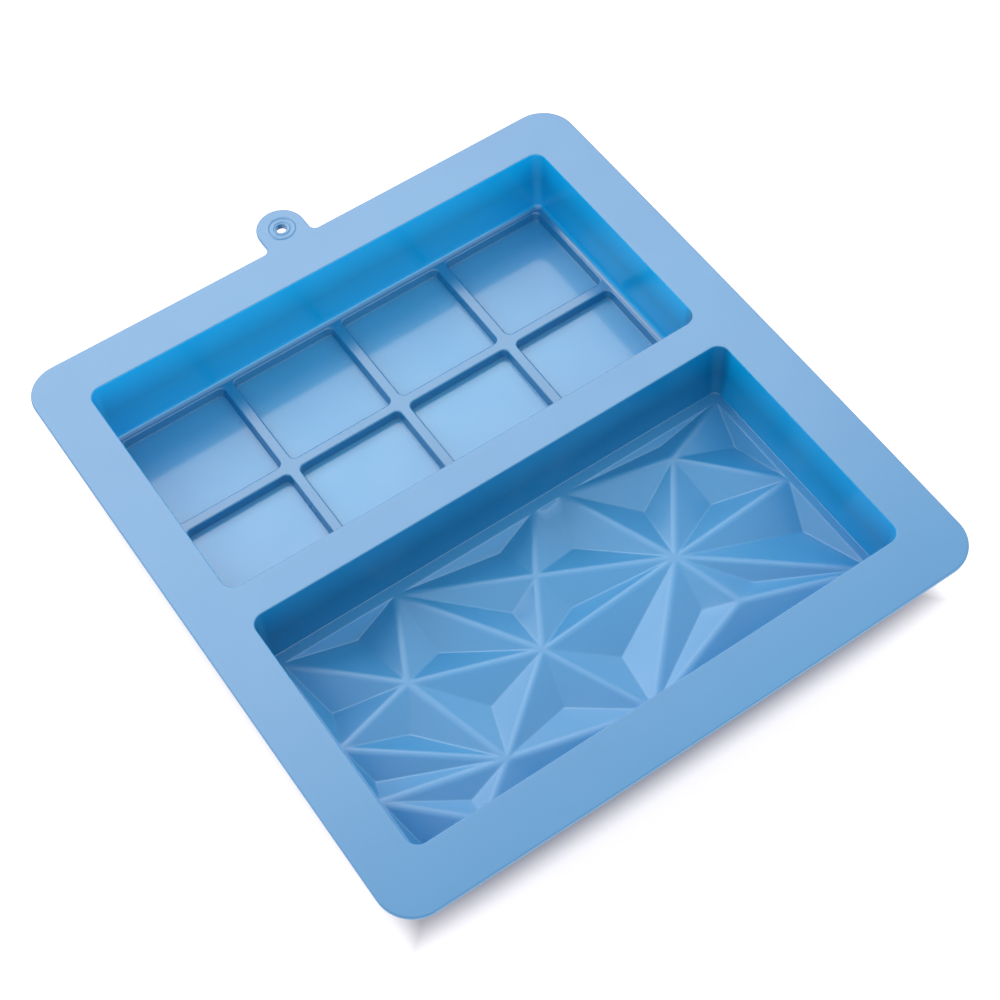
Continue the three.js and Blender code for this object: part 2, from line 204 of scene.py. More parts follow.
class Shell:
    """Surface patches that meet along shared points, made into one closed mesh."""

    def __init__(self):
        self.points, self.normals, self.faces = [], [], []
        self.count = 0

    def add(self, points, normals, faces):
        points = np.asarray(points, float).reshape(-1, 3)
        normals = np.broadcast_to(np.asarray(normals, float), points.shape)
        self.points.append(points)
        self.normals.append(normals)
        self.faces += [tuple(i + self.count for i in face) for face in faces]
        self.count += len(points)

    def grid(self, points, normals, wrap):
        """Rows and columns of points as quads. With wrap, the last column meets the first."""
        rows, columns = points.shape[:2]
        faces = []
        for i in range(rows - 1):
            for j in range(columns if wrap else columns - 1):
                k = (j + 1) % columns
                faces.append((i * columns + j, i * columns + k,
                              (i + 1) * columns + k, (i + 1) * columns + j))
        self.add(points, normals.reshape(-1, 3), faces)

    def sweep(self, ring, run, wrap=True):
        """Carry a profile run round a ring. A run is rows of offset, height and normal."""
        centre, outward = ring
        run = np.asarray(run, float)
        offset, height, side, up = (run[:, k][:, None, None] for k in range(4))
        flat = centre[None] + outward[None] * offset
        whole = flat.shape[:2] + (1,)
        points = np.concatenate([flat, np.broadcast_to(height, whole)], axis=2)
        normals = np.concatenate([outward[None] * side, np.broadcast_to(up, whole)], axis=2)
        self.grid(points, normals, wrap)

    def flat(self, loops, height, facing, spacing=FLAT_SPACING):
        """Flat face inside the first loop and outside the others."""
        points, triangles = triangulate(loops, interior(loops, spacing))
        lifted = np.column_stack([points, np.full(len(points), height)])
        self.add(lifted, (0, 0, facing), triangles)

    def polygon(self, corners, normal):
        self.add(corners, normal, [tuple(range(len(corners)))])

    def make(self, name, material):
        """Weld the patches, warp them, face them outwards and make the object."""
        points, normals = warped(np.concatenate(self.points), np.concatenate(self.normals))
        keys = np.round(points * WELD).astype(np.int64)
        _, first, welded = np.unique(keys, axis=0, return_index=True, return_inverse=True)
        welded = welded.reshape(-1)
        vertices = points[first]
        faces, corner_normals = [], []
        for face in self.faces:
            ids = [int(welded[i]) for i in face]
            kept = [k for k in range(len(ids)) if ids[k] != ids[k - 1]]
            if len(set(ids[k] for k in kept)) < 3:
                continue
            own = [ids[k] for k in kept]
            around = [normals[face[k]] for k in kept]
            a, b, c = vertices[own[0]], vertices[own[1]], vertices[own[2]]
            lean = np.cross(b - a, c - b)
            if len(own) == 4:
                lean = np.cross(c - a, vertices[own[3]] - b)
            if np.dot(lean, sum(around)) < 0:
                own.reverse()
                around.reverse()
            faces.append(own)
            corner_normals += around
        mesh = bpy.data.meshes.new(name)
        mesh.from_pydata((vertices * MM).tolist(), [], faces)
        mesh.polygons.foreach_set("use_smooth", [True] * len(mesh.polygons))
        mesh.normals_split_custom_set([tuple(n) for n in corner_normals])
        mesh.materials.append(material)
        piece = bpy.data.objects.new(name, mesh)
        bpy.context.scene.collection.objects.link(piece)
        return piece


def inside(points, loops):
    """Even-odd test of points against all the loops together."""
    odd = np.zeros(len(points), bool)
    x, y = points[:, 0], points[:, 1]
    for loop in loops:
        for (x0, y0), (x1, y1) in zip(loop, np.roll(loop, -1, axis=0)):
            if y0 == y1:
                continue
            crosses = (y0 > y) != (y1 > y)
            odd ^= crosses & (x < (x1 - x0) * (y - y0) / (y1 - y0) + x0)
    return odd


def interior(loops, spacing):
    """Evenly spaced points inside the first loop, clear of every loop."""
    low, high = loops[0].min(0), loops[0].max(0)
    xs = np.arange(low[0] + spacing / 2, high[0], spacing)
    ys = np.arange(low[1] + spacing / 2, high[1], spacing)
    points = np.array(np.meshgrid(xs, ys)).reshape(2, -1).T
    points = points[inside(points, loops)]
    clear = np.full(len(points), np.inf)
    for loop in loops:
        for start, end in zip(loop, np.roll(loop, -1, axis=0)):
            along = end - start
            share = np.clip((points - start) @ along / max(along @ along, 1e-9), 0, 1)
            gap = np.linalg.norm(points - start - share[:, None] * along, axis=1)
            clear = np.minimum(clear, gap)
    return points[clear > spacing * FLAT_CLEARANCE]


def triangulate(loops, extra):
    """Triangles inside the first loop and outside the others, through the extra points."""
    points = np.concatenate(list(loops) + [extra])
    edges, start = [], 0
    for loop in loops:
        edges += [(start + i, start + (i + 1) % len(loop)) for i in range(len(loop))]
        start += len(loop)
    found = delaunay_2d_cdt([Vector(p) for p in points], edges, [], 0, 1e-6)
    origin = [ids[0] for ids in found[3]]
    triangles = np.array([[origin[i] for i in face] for face in found[2]])
    middles = points[triangles].mean(axis=1)
    return points, triangles[inside(middles, loops)].tolist()


# ---------------------------------------------------------------- outlines and profiles


def arc(x, y, radius, start, end, steps):
    """Points of an arc and its outward normals. A negative radius is a hollow arc."""
    angles = np.radians(np.linspace(start, end, steps + 1))
    normals = np.column_stack([np.cos(angles), np.sin(angles)])
    return np.array([x, y]) + abs(radius) * normals, normals * np.sign(radius)


def joined(parts, step, closed=True):
    """Join arcs by straight stretches, cut up evenly into pieces of about a step."""
    points, normals = [], []
    for i, (p, n) in enumerate(parts):
        points += list(p)
        normals += list(n)
        if i + 1 == len(parts) and not closed:
            break
        target = parts[(i + 1) % len(parts)][0][0]
        pieces = max(1, round(np.linalg.norm(target - p[-1]) / step))
        for k in range(1, pieces):
            points.append(p[-1] + (target - p[-1]) * k / pieces)
            normals.append(n[-1])
    return np.array(points), np.array(normals)


def rounded(x, y, half_x, half_y, radius, steps=8, step=EDGE_STEP):
    """Rounded rectangle, counter-clockwise: points and outward normals."""
    return joined(
        [
            arc(x + half_x - radius, y + half_y - radius, radius, 0, 90, steps),
            arc(x - half_x + radius, y + half_y - radius, radius, 90, 180, steps),
            arc(x - half_x + radius, y - half_y + radius, radius, 180, 270, steps),
            arc(x + half_x - radius, y - half_y + radius, radius, 270, 360, steps),
        ],
        step,
    )


def moved(ring, offset):
    """Points of a ring, moved outwards by an offset."""
    return ring[0] + ring[1] * offset


def bend(centre, radius, start, end, steps, hollow=False):
    """Profile run along an arc: rows of offset, height and normal."""
    angles = np.radians(np.linspace(start, end, steps + 1))
    side, up = np.cos(angles), np.sin(angles)
    sign = -1 if hollow else 1
    return [
        (centre[0] + radius * c, centre[1] + radius * s, sign * c, sign * s)
        for c, s in zip(side, up)
    ]


def line(start, end, normal):
    """Profile run along a straight stretch."""
    return [(*start, *normal), (*end, *normal)]


# ---------------------------------------------------------------- rim and tab


def opening(wall_node):
    """Outline of the opening that a cavity's wall goes round."""
    low, high = box_mm(wall_node)
    middle, half = (low + high) / 2, (high - low) / 2 - WALL
    return rounded(middle[0], middle[1], half[0], half[1], OPENING_CORNER)


GRID_OPENING = opening("grid_cavity_wall")
FACET_OPENING = opening("facet_cavity_wall")

# The edge of the rim and of the tab, from the top face round to the underside.
EDGE_RUN = (
    bend((-RIM_EDGE_TOP, RIM_TOP - RIM_EDGE_TOP), RIM_EDGE_TOP, 90, 0, 6)
    + bend((-RIM_EDGE_UNDER, RIM_UNDER + RIM_EDGE_UNDER), RIM_EDGE_UNDER, 0, -90, 4)
)


def rim_outline():
    """Outline of the rim from the tab's left side round to its right side."""
    x, y = (rim_low[:2] + rim_high[:2]) / 2
    half_x, half_y = (rim_high[:2] - rim_low[:2]) / 2
    up = np.array([[0.0, 1.0]])
    left, right, low, high = x - half_x, x + half_x, y - half_y, y + half_y
    r = RIM_CORNER
    return joined(
        [
            (np.array([[TAB_X - TAB_REACH, high]]), up),
            arc(left + r, high - r, r, 90, 180, 14),
            arc(left + r, low + r, r, 180, 270, 14),
            arc(right - r, low + r, r, 270, 360, 14),
            arc(right - r, high - r, r, 0, 90, 14),
            (np.array([[TAB_X + TAB_REACH, high]]), up),
        ],
        EDGE_STEP,
        closed=False,
    )


def tab_outline():
    """Outline of the tab from the rim's edge on its right round to its left."""
    up = np.array([[0.0, 1.0]])
    fillet_y = RIM_BACK + TAB_ROOT_FILLET
    return joined(
        [
            (np.array([[TAB_X + TAB_REACH, RIM_BACK]]), up),
            arc(TAB_X + TAB_HALF + TAB_ROOT_FILLET, fillet_y, -TAB_ROOT_FILLET, -90, -180, 8),
            arc(TAB_X, TAB_HOLE_Y, TAB_HALF, 0, 180, 28),
            arc(TAB_X - TAB_HALF - TAB_ROOT_FILLET, fillet_y, -TAB_ROOT_FILLET, 0, -90, 8),
            (np.array([[TAB_X - TAB_REACH, RIM_BACK]]), up),
        ],
        TAB_STEP,
        closed=False,
    )


def cut_faces(shell, facing):
    """The faces where the tab leaves the rim, inside the moulding."""
    left, right = TAB_X - TAB_REACH, TAB_X + TAB_REACH
    for x, side in ((left, -1), (right, 1)):
        corners = [(x, TAB_ROOT_Y, RIM_TOP)]
        corners += [(x, RIM_BACK + row[0], row[1]) for row in EDGE_RUN]
        corners.append((x, TAB_ROOT_Y, RIM_UNDER))
        shell.polygon(corners, (-side * facing, 0, 0))
    shell.polygon(
        [(left, TAB_ROOT_Y, RIM_TOP), (right, TAB_ROOT_Y, RIM_TOP),
         (right, TAB_ROOT_Y, RIM_UNDER), (left, TAB_ROOT_Y, RIM_UNDER)],
        (0, facing, 0),
    )


def root_corners():
    """The two inner corners of the tab's root, from left to right."""
    return np.array([[TAB_X - TAB_REACH, TAB_ROOT_Y], [TAB_X + TAB_REACH, TAB_ROOT_Y]])


# The edge's width, the height and the direction of the top face and of the underside.
RIM_FACES = ((RIM_EDGE_TOP, RIM_TOP, 1), (RIM_EDGE_UNDER, RIM_UNDER, -1))


def build_rim(material):
    """The flat rim, round the tops of both walls and behind the tab's root."""
    shell = Shell()
    ring = rim_outline()
    shell.sweep(ring, EDGE_RUN, wrap=False)
    holes = [moved(o, WALL) for o in (GRID_OPENING, FACET_OPENING)]
    for edge, height, facing in RIM_FACES:
        outer = np.concatenate([moved(ring, -edge), root_corners()[::-1]])
        shell.flat([outer] + holes, height, facing)
    for o in (GRID_OPENING, FACET_OPENING):
        shell.sweep(o, line((WALL, RIM_TOP), (WALL, RIM_UNDER), (-1, 0)))
    cut_faces(shell, 1)
    return shell.make("silicone_rim", material)


def tab_profile():
    """Section of the tab round its hole, from the flat top, in over the rings and down."""
    edge, edge_radius = TAB_HOLE_EDGE, TAB_HOLE + TAB_HOLE_EDGE
    rows = []
    for radius in np.linspace(TAB_PATCH_RADIUS, edge_radius, TAB_PATCH_ROWS):
        height = slope = 0.0
        for middle, width, rise in TAB_RINGS:
            away = (radius - middle) / width
            if abs(away) < 0.5:
                height += rise * math.cos(math.pi * away) ** 2
                slope -= rise * math.pi / width * math.sin(2 * math.pi * away)
        size = math.hypot(slope, 1)
        rows.append((radius, RIM_TOP + height, -slope / size, 1 / size))
    rows += bend((edge_radius, RIM_TOP - edge), edge, 90, 180, 4)[1:]
    rows += bend((edge_radius, RIM_UNDER + edge), edge, 180, 270, 4)
    rows.append((TAB_PATCH_RADIUS, RIM_UNDER, 0, -1))
    return rows


def build_tab(material):
    """The tab with its hole and its raised rings."""
    shell = Shell()
    ring = tab_outline()
    shell.sweep(ring, EDGE_RUN, wrap=False)
    spokes = arc(TAB_X, TAB_HOLE_Y, 1.0, 0, 360, TAB_PATCH_SPOKES)[1][:-1]
    hub = (np.full(spokes.shape, (TAB_X, TAB_HOLE_Y)), spokes)
    for edge, height, facing in RIM_FACES:
        outer = np.concatenate([moved(ring, -edge), root_corners()])
        shell.flat([outer, moved(hub, TAB_PATCH_RADIUS)], height, facing, TAB_SPACING)
    shell.sweep(hub, tab_profile())
    cut_faces(shell, -1)
    return shell.make("silicone_tab", material)


# ---------------------------------------------------------------- cavity walls


def wall_runs(foot, fillet):
    """Runs of a wall's section, from its top over the inner face and back up the outer face."""
    depth = RIM_TOP - foot
    lean = math.atan2(DRAFT, depth)

    def inner_x(z):
        return -DRAFT * (RIM_TOP - z) / depth

    def outer_x(z):
        return WALL - DRAFT * (RIM_UNDER - z) / (RIM_UNDER - foot)

    edge_z = RIM_TOP - OPENING_EDGE
    edge_x = inner_x(edge_z) + OPENING_EDGE / math.cos(lean)
    foot_z = foot + fillet
    foot_x = inner_x(foot_z) - fillet / math.cos(lean)
    lean_degrees = math.degrees(lean)
    inner = [(WALL, RIM_TOP, 0, 1)]
    inner += bend((edge_x, edge_z), OPENING_EDGE, 90, 180 - lean_degrees, 6)
    first = np.array(inner[-1][:2])
    last_rows = bend((foot_x, foot_z), fillet, -lean_degrees, -90, 8, hollow=True)
    final = np.array(last_rows[0][:2])
    for share in (0.25, 0.5, 0.75):
        inner.append((*(first + (final - first) * share), -math.cos(lean), math.sin(lean)))
    inner += last_rows
    outer_lean = math.atan2(DRAFT, RIM_UNDER - foot)
    under_z = RIM_UNDER - UNDER_FILLET
    under_x = outer_x(under_z) + UNDER_FILLET / math.cos(outer_lean)
    outer_degrees = math.degrees(outer_lean)
    normal = (math.cos(outer_lean), -math.sin(outer_lean))
    outer = [(outer_x(foot), foot, *normal)]
    outer += bend((under_x, under_z), UNDER_FILLET, 180 - outer_degrees, 90, 6, hollow=True)
    return [
        inner,
        line((foot_x, foot), (outer_x(foot), foot), (0, -1)),
        outer,
        line((under_x, RIM_UNDER), (WALL, RIM_UNDER), (0, 1)),
        line((WALL, RIM_UNDER), (WALL, RIM_TOP), (1, 0)),
    ]


def build_wall(name, ring, floor_node, fillet, material):
    """The wall round a cavity, down to the top of the node that is its floor."""
    shell = Shell()
    for run in wall_runs(box_mm(floor_node)[1][2], fillet):
        shell.sweep(ring, run)
    return shell.make(name, material)


# ---------------------------------------------------------------- grid cavity floor


def cell_ring(index):
    """Outline of a cell at the top of the ribs."""
    low, high = box_mm("grid_cell_floor_%d" % index)
    x, y = ((low + high) / 2)[:2]
    return rounded(x, y, CELL / 2, CELL / 2, CELL_CORNER, steps=6, step=CELL_STEP)


def side_run(offset, top, bottom, edge):
    """Outside of a floor: down from its top edge, and rounded in below."""
    return [(offset, top, 1, 0)] + bend((offset - edge, bottom + edge), edge, 0, -90, 5)


def build_ribs(material):
    """The ledge and the ribs: one plate with the eight cells cut through it."""
    shell = Shell()
    low, high = box_mm("grid_cavity_ribs")
    top, bottom = high[2], low[2]
    lean = math.atan2(CELL_DRAFT, top - bottom)
    degrees = math.degrees(lean)
    edge_x = CELL_EDGE / math.cos(lean) - CELL_EDGE * math.tan(lean)
    foot_x = -CELL_DRAFT + CELL_FOOT * math.tan(lean) - CELL_FOOT / math.cos(lean)
    rows = bend((edge_x, top - CELL_EDGE), CELL_EDGE, 90, 180 - degrees, 6)
    rows += bend((foot_x, bottom + CELL_FOOT), CELL_FOOT, -degrees, -90, 6, hollow=True)
    rings = [cell_ring(i + 1) for i in range(CELLS)]
    for ring in rings:
        shell.sweep(ring, rows)
    skirt = WALL - DRAFT
    shell.sweep(GRID_OPENING, side_run(skirt, top, bottom, FLOOR_EDGE))
    for offset, hole_offset, height, facing in (
        (skirt, edge_x, top, 1),
        (skirt - FLOOR_EDGE, foot_x, bottom, -1),
    ):
        holes = [moved(ring, hole_offset) for ring in rings]
        shell.flat([moved(GRID_OPENING, offset)] + holes, height, facing)
    return shell.make("silicone_grid_ribs", material)


def build_cell_floor(index, material):
    """A cell's floor, which is also the pad under it."""
    shell = Shell()
    low, high = box_mm("grid_cell_floor_%d" % index)
    x, y = ((low + high) / 2)[:2]
    ring = rounded(x, y, PAD_HALF, PAD_HALF, PAD_CORNER, steps=6, step=CELL_STEP)
    shell.sweep(ring, side_run(0, high[2], low[2], PAD_EDGE))
    shell.flat([moved(ring, 0)], high[2], 1)
    shell.flat([moved(ring, -PAD_EDGE)], low[2], -1)
    return shell.make("silicone_cell_floor_%d" % index, material)


# ---------------------------------------------------------------- faceted cavity floor


def field_planes():
    """For each pit: its corners, and for each edge a start, an inward normal and a slope."""
    planes = []
    for names, low in (*PYRAMIDS, HIP[:2]):
        corners = [np.array(RIDGE_POINTS[n], float) for n in names.split()]
        middle = np.mean(corners, axis=0)
        edges = []
        for i, start in enumerate(corners):
            end = corners[(i + 1) % len(corners)]
            along = (end - start) / np.linalg.norm(end - start)
            inward = np.array([-along[1], along[0]])
            if (middle - start) @ inward < 0:
                inward = -inward
            bottom = low
            if names == HIP[0] and i == 0:
                bottom = HIP[2]
            slope = bottom[2] / ((np.array(bottom[:2]) - start) @ inward)
            edges.append((start, inward, slope))
        planes.append((corners, edges, low))
    return planes


FIELD = field_planes()


def soft_minimum(a, b):
    """The smaller of two depths, with the valley between them a little rounded.

    The rounding gets narrower towards the ridges, where the valley comes to nothing.
    """
    least = np.minimum(a, b)
    width = np.clip(least * VALLEY_GROWTH, 1e-6, VALLEY_SOFTNESS)
    near = np.maximum(width - np.abs(a - b), 0) / width
    return least - near * near * width / 4


def raw_depth(points):
    """Depth below the ridges at points measured from the middle of the field."""
    depth = np.zeros(len(points))
    for _, edges, _ in FIELD:
        gaps = [(points - start) @ inward for start, inward, _ in edges]
        held = np.all(np.array(gaps) > 0, axis=0)
        if not held.any():
            continue
        value = None
        for (_, _, slope), gap in zip(edges, gaps):
            own = gap[held] * slope
            value = own if value is None else soft_minimum(value, own)
        depth[held] = value
    return depth


def facet_height(points, softness):
    """Height of the faceted face under its ridges, which have narrow flat tops."""
    below = raw_depth(points) - RIDGE_FLAT
    bent = np.maximum(below + softness, 0) ** 2 / (4 * softness)
    return -np.where(below > softness, below, bent)


def segment(start, end, step):
    """Points from start to end, about a step apart."""
    pieces = max(1, round(np.linalg.norm(end - start) / step))
    return [start + (end - start) * k / pieces for k in range(pieces + 1)]


def field_samples(step):
    """Points along every ridge and valley, and in rows beside them, from the field's middle."""
    samples = []
    for corners, edges, low in FIELD:
        bottom = np.array(low[:2])
        for i, (start, inward, slope) in enumerate(edges):
            end = corners[(i + 1) % len(corners)]
            reach = slope * ((bottom - start) @ inward)
            for level in RIDGE_LEVELS:
                share = level / reach
                a = start + (bottom - start) * share
                b = end + (bottom - end) * share
                samples += segment(a, b, step)
        for corner in corners:
            along = bottom - corner
            along /= np.linalg.norm(along)
            across = np.array([-along[1], along[0]])
            for offset in VALLEY_ROWS:
                samples += segment(corner + across * offset, bottom + across * offset, step)
    return np.array(samples)


def thinned(points, gap):
    """Points with any that is closer than gap to an earlier one left out."""
    kept, cells = [], {}
    for p in points:
        cx, cy = int(math.floor(p[0] / gap)), int(math.floor(p[1] / gap))
        near = False
        for i in (cx - 1, cx, cx + 1):
            for j in (cy - 1, cy, cy + 1):
                for q in cells.get((i, j), ()):
                    if (p[0] - q[0]) ** 2 + (p[1] - q[1]) ** 2 < gap * gap:
                        near = True
        if not near:
            cells.setdefault((cx, cy), []).append(p)
            kept.append(p)
    return np.array(kept)


def facet_face(shell, loop, middle, level, facing, spread, softness, floor, step, gap):
    """One face of the faceted floor inside a loop, as triangles that follow its height.

    Its ridges are at the level, its field is wider than the true one by the spread on each
    side, and no point is lower than the floor.
    """
    stretch = np.array([1 + spread / FIELD_X, 1 + spread / FIELD_Y])
    corners = np.array([(-1, -1), (1, -1), (1, 1), (-1, 1)]) * (FIELD_X, FIELD_Y)
    extra = np.concatenate([thinned(field_samples(step), gap), corners]) * stretch + middle
    extra = extra[inside(extra, [loop])]
    points, triangles = triangulate([loop], extra)

    def height(p):
        return np.maximum(level + facet_height((p - middle) / stretch, softness), floor)

    slopes = [
        (height(points + step_over) - height(points - step_over)) / (2 * SLOPE_STEP)
        for step_over in np.eye(2) * SLOPE_STEP
    ]
    normals = np.column_stack([-slopes[0], -slopes[1], np.ones(len(points))])
    normals /= np.linalg.norm(normals, axis=1)[:, None]
    lifted = np.column_stack([points, height(points)])
    lifted[:len(loop), 2] = level
    normals[:len(loop)] = (0, 0, 1)
    shell.add(lifted, normals * facing, triangles)


def build_facets(material):
    """The faceted floor: its visible face, and a softer one below that follows it."""
    shell = Shell()
    low, high = box_mm("facet_cavity_floor")
    middle = ((low + high) / 2)[:2]
    top, under = high[2], high[2] - FACET_SKIN
    skirt = WALL - DRAFT
    shell.sweep(FACET_OPENING, side_run(skirt, top, under, FLOOR_EDGE))
    facet_face(shell, moved(FACET_OPENING, skirt), middle, top, 1, 0,
               RIDGE_SOFTNESS, low[2] + PIT_SKIN, TOP_STEP, TOP_GAP)
    facet_face(shell, moved(FACET_OPENING, skirt - FLOOR_EDGE), middle, under, -1, UNDER_SPREAD,
               RIDGE_SOFTNESS * 2, low[2], UNDER_STEP, UNDER_GAP)
    return shell.make("silicone_facet_floor", material)


# ---------------------------------------------------------------- shader nodes


class Nodes:
    """Short ways to add nodes to one tree. A value is a constant or another node's socket."""

    def __init__(self, owner, coordinates):
        owner.use_nodes = True
        self.tree = owner.node_tree
        self.place = self.new("TexCoord").outputs[coordinates]

    def new(self, kind):
        return self.tree.nodes.new("ShaderNode" + kind)

    def feed(self, socket, value):
        if isinstance(value, bpy.types.NodeSocket):
            self.tree.links.new(value, socket)
        else:
            socket.default_value = value

    def feed_all(self, made, values):
        for key, value in values.items():
            self.feed(made.inputs[key], value)

    def split(self, vector):
        made = self.new("SeparateXYZ")
        self.feed(made.inputs[0], vector)
        return made.outputs

    def math(self, operation, first, second=0.0, kind="Math"):
        made = self.new(kind)
        made.operation = operation
        self.feed(made.inputs[0], first)
        self.feed(made.inputs[1], second)
        return made.outputs[1 if operation == "DOT_PRODUCT" else 0]

    def ramp(self, value, low, high, start=0.0, end=1.0, kind="LINEAR"):
        """A value from low to high, turned into one from start to end and held there."""
        made = self.new("MapRange")
        made.interpolation_type = kind
        self.feed_all(made, {"Value": value, "From Min": low, "From Max": high,
                             "To Min": start, "To Max": end})
        return made.outputs["Result"]

    def smooth(self, value, low, high, start=0.0, end=1.0):
        return self.ramp(value, low, high, start, end, "SMOOTHSTEP")

    def shades(self, factor, stops):
        """A colour that runs through stops, which are rising positions and their colours."""
        made = self.new("ValToRGB")
        elements = made.color_ramp.elements
        while len(elements) < len(stops):
            elements.new(0.5)
        for element, (position, colour) in zip(elements, stops):
            element.position = position
            element.color = (*colour, 1)
        self.feed(made.inputs["Fac"], factor)
        return made.outputs["Color"]

    def mix(self, kind, factor, first, second, blend="MIX"):
        made = self.new("Mix")
        made.data_type = kind
        made.blend_type = blend
        shown = [socket for socket in made.inputs if socket.enabled]
        for socket, value in zip(shown, (factor, first, second)):
            self.feed(socket, value)
        return next(socket for socket in made.outputs if socket.enabled)

    def noise(self, scale, detail):
        made = self.new("TexNoise")
        self.feed_all(made, {"Scale": scale, "Detail": detail, "Vector": self.place})
        return made.outputs["Fac"]

    def bump(self, height, distance, strength):
        made = self.new("Bump")
        self.feed_all(made, {"Height": height, "Distance": distance, "Strength": strength})
        return made


# ---------------------------------------------------------------- materials

# Noise scales and details, and the heights of the waves and of the fine skin in metres.
MOTTLE = (22, 3)
MOTTLE_RANGE = (0.3, 0.7)
GRAIN = (60, 4)
GRAIN_RANGE = (0.85, 1.15)
WAVES = (28, 1)
WAVE_HEIGHT = 0.06 * MM
SKIN = (1600, 3)
SKIN_HEIGHT = 0.02 * MM
SKIN_STRENGTH = 0.25
SILICONE_IOR = 1.75

# Dust specks: their colour, the patches to a metre that may hold one, the share of patches that
# don't, and a speck's radius as a share of a patch.
DUST = (0.75, 0.8, 0.86, 1.0)
DUST_SCALE = 95
DUST_FREE = 0.965
DUST_SIZE = 0.022

# A look is a roughness, a specular level, and a darker and a lighter tint.
RIM_LOOK = (0.24, 0.74, (0.0, 0.176, 0.414), (0.0015, 0.191, 0.436))
RIB_LOOK = (0.26, 0.74, (0.0, 0.186, 0.425), (0.001, 0.200, 0.445))
# Painted light: cell and facet tints lighter than the rim's, for light coming through the
# silicone.
CELL_PAINTED_LIGHT_LOOK = (0.5, 0.8, (0.0, 0.265, 0.56), (0.0015, 0.285, 0.59))
FACET_PAINTED_LIGHT_LOOK = (0.55, 0.7, (0.0, 0.227, 0.51), (0.0015, 0.243, 0.535))
# Painted light: inner wall tints much lighter than the rim's, for light coming through the walls.
GRID_WALL_PAINTED_LIGHT_LOOK = (0.25, 0.5, (0.0, 0.43, 0.86), (0.0, 0.46, 0.90))
FACET_WALL_PAINTED_LIGHT_LOOK = (0.24, 0.4, (0.0, 0.35, 0.72), (0.0, 0.38, 0.77))
# Painted shade: the web side's walls are darker, as no light comes through them from outside.
WEB_PAINTED_SHADE_LOOK = (0.25, 0.5, (0.0, 0.175, 0.40), (0.0, 0.20, 0.445))
# A coat is the roughness and the index of a polished skin over a duller body.
CELL_COAT = (0.1, 1.5)
FACET_COAT = (0.24, 1.42)

# A wall's painted light look sets in as its normal's height falls through this range, and within
# this distance of where it turns from the cavity's middle.
STEEP_RANGE = (0.5, 0.98)
FACING_FADE = 10.0
# Painted shade: how light the walls are, from the low end of this span of heights to its high end.
WALL_SPAN = (5.0, 30.0)
WALL_PAINTED_SHADES = ((0.0, 1.0), (0.52, 0.72), (1.0, 1.0))
# The middle of the web between the cavities, and how far from it its walls' painted shade fades.
WEB_Y = -6.0
WEB_REACH = (8.5, 12.0)

# The table's two tints, the colour and strength of its painted glow, and where the glow fades,
# as distances outside the rim's outline: the glow is left off under the mould as a painted shadow.
PAPER_TINTS = ((0.50, 0.46, 0.475), (0.53, 0.49, 0.505))
PAPER_GRAIN = (300, 2)
GLOW_TINT = (1, 0.985, 0.985, 1)
GLOW = 0.7
GLOW_EDGE = (-13.0, -1.5)


def wall_masks(nodes, middle):
    """Where a face is a cavity's inner wall, its painted shade, and the web's painted shade."""
    normal = nodes.new("NewGeometry").outputs["Normal"]
    centre = (middle[0] * MM, middle[1] * MM, 0)
    outward = nodes.math("SUBTRACT", nodes.place, centre, "VectorMath")
    turned = nodes.math("DOT_PRODUCT", outward, normal, "VectorMath")
    steep = nodes.math(
        "MULTIPLY",
        nodes.ramp(nodes.split(normal)["Z"], *STEEP_RANGE, 1.0, 0.0),
        nodes.ramp(turned, -FACING_FADE * MM, 0.0, 1.0, 0.0),
    )
    where = nodes.split(nodes.place)
    height = nodes.ramp(where["Z"], WALL_SPAN[0] * MM, WALL_SPAN[1] * MM)
    shade = nodes.shades(height, [(at, (level, level, level)) for at, level in WALL_PAINTED_SHADES])
    away = nodes.math("ABSOLUTE", nodes.math("SUBTRACT", where["Y"], WEB_Y * MM))
    web = nodes.ramp(away, WEB_REACH[0] * MM, WEB_REACH[1] * MM, 1.0, 0.0)
    return steep, shade, web


def dusty(nodes, colour):
    """A colour with a few tiny pale specks on it."""
    patches = nodes.new("TexVoronoi")
    nodes.feed_all(patches, {"Scale": DUST_SCALE, "Randomness": 1, "Vector": nodes.place})
    chance = nodes.new("SeparateColor")
    nodes.feed(chance.inputs["Color"], patches.outputs["Color"])
    rare = nodes.math("GREATER_THAN", chance.outputs["Red"], DUST_FREE)
    close = nodes.math("LESS_THAN", patches.outputs["Distance"], DUST_SIZE)
    return nodes.mix("RGBA", nodes.math("MULTIPLY", rare, close), colour, DUST)


